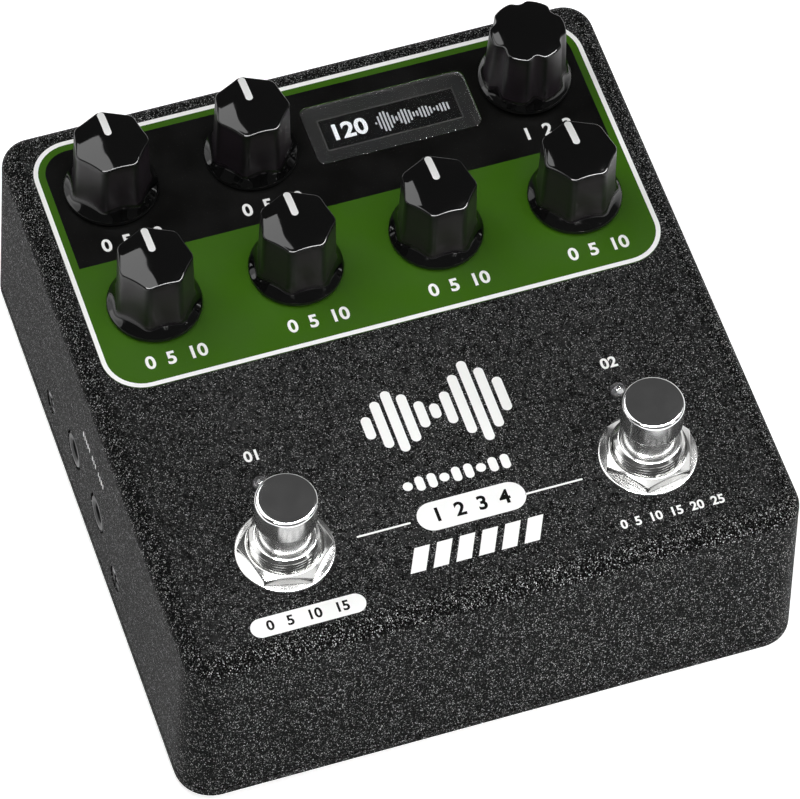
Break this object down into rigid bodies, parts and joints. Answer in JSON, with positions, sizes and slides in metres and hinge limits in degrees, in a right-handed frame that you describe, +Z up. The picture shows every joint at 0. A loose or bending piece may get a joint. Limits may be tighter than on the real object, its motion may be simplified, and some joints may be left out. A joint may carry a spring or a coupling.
{
  "type": "effects pedal",
  "caption": "Low cast case with two foot switches, a push encoder, rows of rotary knobs beside a small display, and jack sockets in its left and rear walls.",
  "frame": {"origin": "on the surface that the feet stand on, under the middle of the whole part, with the rear jacks", "axes": "+X to the player's right, +Y away from the player towards the rear jacks, +Z up"},
  "size_m": [0.11, 0.1182, 0.0564],
  "materials": {
    "case_paint": "black textured powder coat on a cast aluminium case",
    "dark_steel": "blackened steel screws",
    "foot_rubber": "soft black rubber",
    "label_print": "satin film printed green with black and white",
    "window_plastic": "clear glossy acrylic with a black border behind it",
    "display_glass": "unlit dark display glass",
    "board_laminate": "green solder-resist circuit board",
    "housing_plastic": "black moulded component housings",
    "plated_steel": "nickel-plated steel",
    "shaft_plastic": "moulded control shaft",
    "knob_plastic": "gloss black moulded plastic",
    "pointer_paint": "white filled line",
    "bright_chrome": "bright chrome plate",
    "spring_steel": "spring steel wire",
    "lamp_resin": "water-clear lamp resin",
    "brass_pillar": "plain brass",
    "jack_plastic": "dark grey moulded jack housings"
  },
  "bodies": {
    "case": {"base_plate": "case_paint", "base_plate_screws": "dark_steel", "board_components": "housing_plastic", "board_headers": "housing_plastic", "board_screws": "plated_steel", "board_standoffs": "brass_pillar", "case_shell": "case_paint", "control_board": "board_laminate", "dc_inlet": "jack_plastic", "dc_inlet_pin": "plated_steel", "display_board": "board_laminate", "display_panel": "display_glass", "display_window": "window_plastic", "encoder_body": "housing_plastic", "face_label": "label_print", "footswitch_bodies": "housing_plastic", "footswitch_bushings": "bright_chrome", "footswitch_inner_nuts": "plated_steel", "footswitch_nuts": "bright_chrome", "footswitch_spring_left": "spring_steel", "footswitch_spring_right": "spring_steel", "footswitch_washers": "bright_chrome", "main_board": "board_laminate", "panel_nuts": "plated_steel", "panel_washers": "plated_steel", "pot_bodies": "housing_plastic", "rear_jack_nuts": "plated_steel", "rear_jack_washers": "plated_steel", "rear_jacks": "jack_plastic", "rubber_feet": "foot_rubber", "side_brackets": "plated_steel", "side_jacks": "jack_plastic", "side_screws": "dark_steel", "status_leds": "lamp_resin", "switch_board": "board_laminate", "usb_socket": "plated_steel", "usb_tongue": "jack_plastic"},
    "bass_control": {"knob_bass": "knob_plastic", "pointer_bass": "pointer_paint", "shaft_bass": "shaft_plastic"},
    "treble_control": {"knob_treble": "knob_plastic", "pointer_treble": "pointer_paint", "shaft_treble": "shaft_plastic"},
    "time_control": {"knob_time": "knob_plastic", "pointer_time": "pointer_paint", "shaft_time": "shaft_plastic"},
    "repeat_control": {"knob_repeat": "knob_plastic", "pointer_repeat": "pointer_paint", "shaft_repeat": "shaft_plastic"},
    "level_control": {"knob_level": "knob_plastic", "pointer_level": "pointer_paint", "shaft_level": "shaft_plastic"},
    "reverb_control": {"knob_reverb": "knob_plastic", "pointer_reverb": "pointer_paint", "shaft_reverb": "shaft_plastic"},
    "encoder_press": {"encoder_push_plate": "plated_steel"},
    "encoder_control": {"encoder_knob": "knob_plastic", "encoder_shaft": "shaft_plastic"},
    "footswitch_left": {"footswitch_cap_left": "bright_chrome"},
    "footswitch_right": {"footswitch_cap_right": "bright_chrome"}
  },
  "joints": [
    {"name": "bass_turn", "type": "hinge", "parent": "case", "child": "bass_control", "pos_m": [-0.03765, 0.03937, 0.0404], "axis": [0, 0, 1], "range_deg": [-150, 150]},
    {"name": "treble_turn", "type": "hinge", "parent": "case", "child": "treble_control", "pos_m": [-0.01255, 0.03937, 0.0404], "axis": [0, 0, 1], "range_deg": [-150, 150]},
    {"name": "time_turn", "type": "hinge", "parent": "case", "child": "time_control", "pos_m": [-0.03765, 0.01412, 0.0404], "axis": [0, 0, 1], "range_deg": [-150, 150]},
    {"name": "repeat_turn", "type": "hinge", "parent": "case", "child": "repeat_control", "pos_m": [-0.01255, 0.01412, 0.0404], "axis": [0, 0, 1], "range_deg": [-150, 150]},
    {"name": "level_turn", "type": "hinge", "parent": "case", "child": "level_control", "pos_m": [0.01255, 0.01412, 0.0404], "axis": [0, 0, 1], "range_deg": [-150, 150]},
    {"name": "reverb_turn", "type": "hinge", "parent": "case", "child": "reverb_control", "pos_m": [0.03765, 0.01412, 0.0404], "axis": [0, 0, 1], "range_deg": [-150, 150]},
    {"name": "encoder_push", "type": "slide", "parent": "case", "child": "encoder_press", "axis": [0, 0, -1], "range_m": [0, 0.0004], "stiffness_N_per_m": 800, "springref_m": -0.002},
    {"name": "encoder_turn", "type": "hinge", "parent": "encoder_press", "child": "encoder_control", "pos_m": [0.03765, 0.04047, 0.0404], "axis": [0, 0, 1], "continuous": true},
    {"name": "footswitch_left_press", "type": "slide", "parent": "case", "child": "footswitch_left", "axis": [0, 0, -1], "range_m": [0, 0.003], "stiffness_N_per_m": 2500, "springref_m": -0.002, "deforming": ["footswitch_spring_left"]},
    {"name": "footswitch_right_press", "type": "slide", "parent": "case", "child": "footswitch_right", "axis": [0, 0, -1], "range_m": [0, 0.003], "stiffness_N_per_m": 2500, "springref_m": -0.002, "deforming": ["footswitch_spring_right"]}
  ]
}
